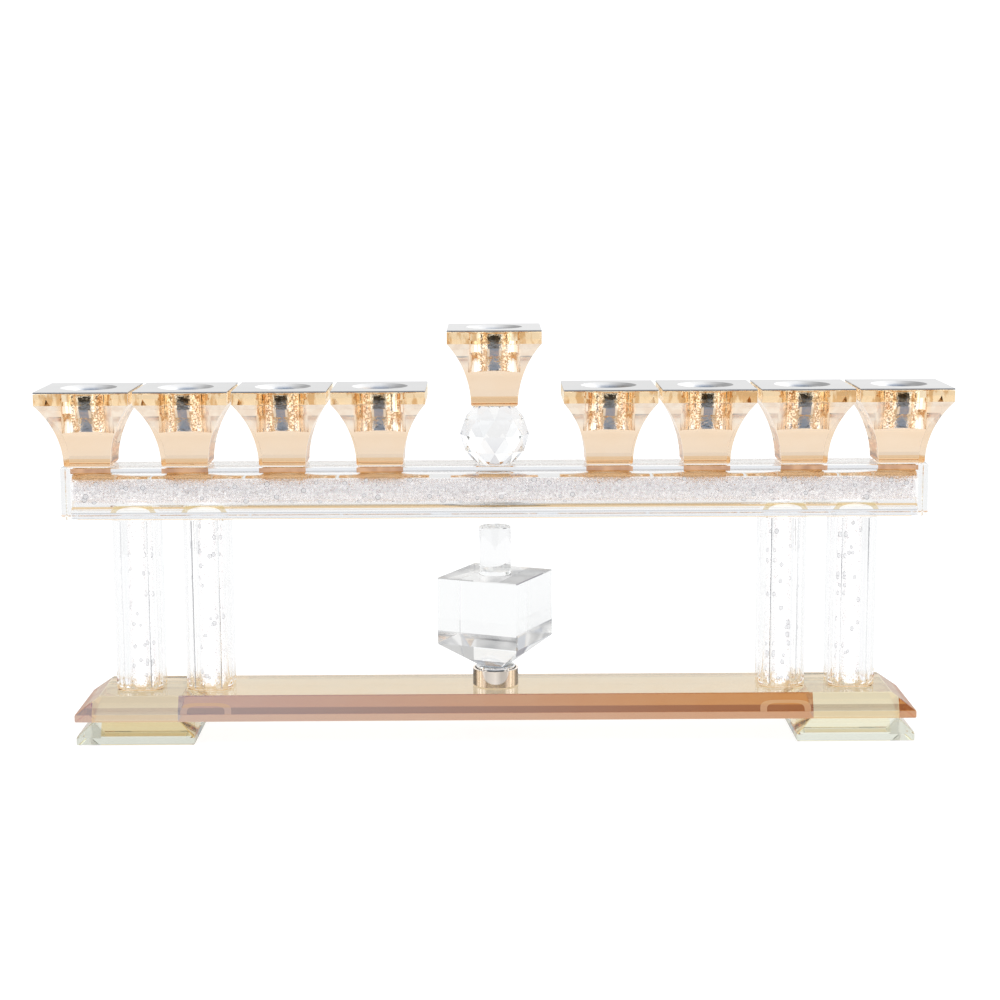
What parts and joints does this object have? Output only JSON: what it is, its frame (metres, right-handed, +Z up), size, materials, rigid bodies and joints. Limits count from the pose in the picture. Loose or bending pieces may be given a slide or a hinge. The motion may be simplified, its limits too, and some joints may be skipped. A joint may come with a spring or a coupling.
{
  "type": "menorah",
  "caption": "Crystal menorah: square amber candle cups on a bead-filled bar, raised middle cup on a faceted ball, bead-filled columns, amber base and a dreidel that spins.",
  "frame": {"origin": "middle of the plane that the two feet stand on", "axes": "+X along the row of candle cups, +Y to the back (the front faces -Y), +Z up"},
  "size_m": [0.389, 0.0502, 0.1781],
  "materials": {
    "amber_crystal": "polished, champagne amber",
    "clear_crystal": "polished, colourless",
    "crystal_beads": "loose cut beads, sparkling",
    "polished_chrome": "mirror polished",
    "champagne_nickel": "polished, champagne plated",
    "bearing_steel": "polished steel",
    "cage_brass": "pressed brass"
  },
  "bodies": {
    "stand": {"base_slab": "amber_crystal", "foot_left": "clear_crystal", "foot_right": "clear_crystal", "column_1": "clear_crystal", "column_beads_1": "crystal_beads", "column_2": "clear_crystal", "column_beads_2": "crystal_beads", "column_3": "clear_crystal", "column_beads_3": "crystal_beads", "column_4": "clear_crystal", "column_beads_4": "crystal_beads", "beam_bar": "clear_crystal", "beam_cap_left": "clear_crystal", "beam_cap_right": "clear_crystal", "beam_beads": "crystal_beads", "cup_1": "amber_crystal", "candle_insert_1": "polished_chrome", "cup_2": "amber_crystal", "candle_insert_2": "polished_chrome", "cup_3": "amber_crystal", "candle_insert_3": "polished_chrome", "cup_4": "amber_crystal", "candle_insert_4": "polished_chrome", "cup_5": "amber_crystal", "candle_insert_5": "polished_chrome", "cup_6": "amber_crystal", "candle_insert_6": "polished_chrome", "cup_7": "amber_crystal", "candle_insert_7": "polished_chrome", "cup_8": "amber_crystal", "candle_insert_8": "polished_chrome", "cup_shamash": "amber_crystal", "candle_insert_shamash": "polished_chrome", "shamash_ball": "clear_crystal", "swivel_housing": "champagne_nickel"},
    "dreidel": {"dreidel_body": "clear_crystal", "dreidel_stem": "clear_crystal", "swivel_rotor": "polished_chrome"},
    "bearing_cage": {"ball_cage": "cage_brass", "bearing_ball_1": "bearing_steel", "bearing_ball_2": "bearing_steel", "bearing_ball_3": "bearing_steel", "bearing_ball_4": "bearing_steel", "bearing_ball_5": "bearing_steel", "bearing_ball_6": "bearing_steel", "bearing_ball_7": "bearing_steel", "bearing_ball_8": "bearing_steel"}
  },
  "joints": [
    {"name": "dreidel_spin", "type": "hinge", "parent": "stand", "child": "dreidel", "pos_m": [0, 0, 0.041], "axis": [0, 0, 1], "continuous": true},
    {"name": "cage_spin", "type": "hinge", "parent": "stand", "child": "bearing_cage", "pos_m": [0, 0, 0.0246], "axis": [0, 0, 1], "continuous": true}
  ],
  "couplings": [
    {"joint": "cage_spin", "follows": "dreidel_spin", "ratio": 0.5}
  ]
}
